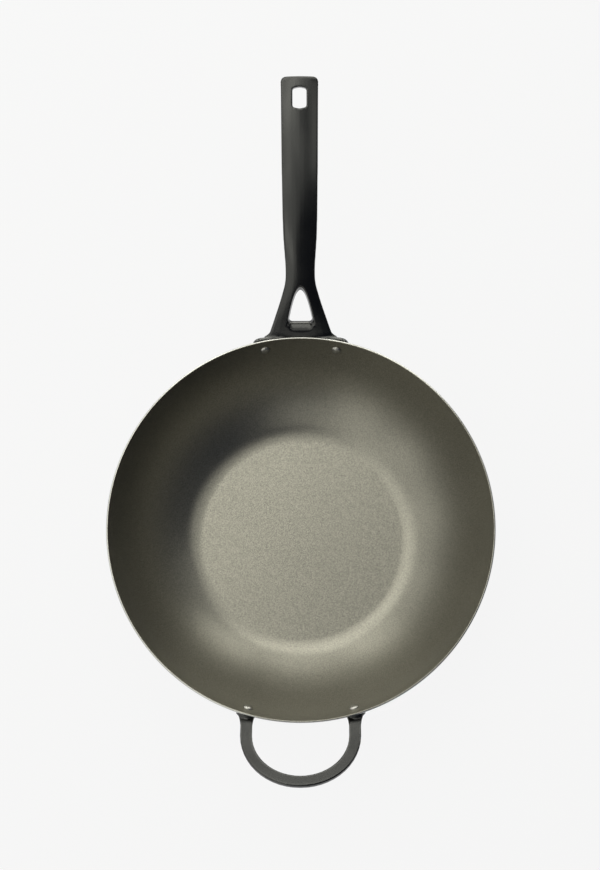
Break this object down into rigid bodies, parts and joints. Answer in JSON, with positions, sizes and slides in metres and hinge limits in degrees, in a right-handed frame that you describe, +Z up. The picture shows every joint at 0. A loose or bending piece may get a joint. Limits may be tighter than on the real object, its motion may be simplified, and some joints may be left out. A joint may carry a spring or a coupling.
{
  "type": "flat-bottomed wok",
  "caption": "Deep round wok with a flat base: coated steel bowl with a bare cut rim, long arched cast handle with a hanging slot, and a looped helper handle, both riveted to the wall.",
  "frame": {"origin": "centre of the flat underside of the base, on the surface that the wok stands on", "axes": "+Z up; +Y along the long handle, away from the bowl; the helper handle lies towards -Y"},
  "size_m": [0.32, 0.5701, 0.1621],
  "materials": {
    "bowl_coating": "satin",
    "black_enamel": "satin",
    "bare_steel": "satin"
  },
  "bodies": {
    "root": {"bowl": "bowl_coating", "long_handle": "black_enamel", "helper_handle": "black_enamel", "handle_rivet_left": "bare_steel", "handle_rivet_right": "bare_steel", "helper_rivet_left": "bare_steel", "helper_rivet_right": "bare_steel"}
  },
  "joints": []
}
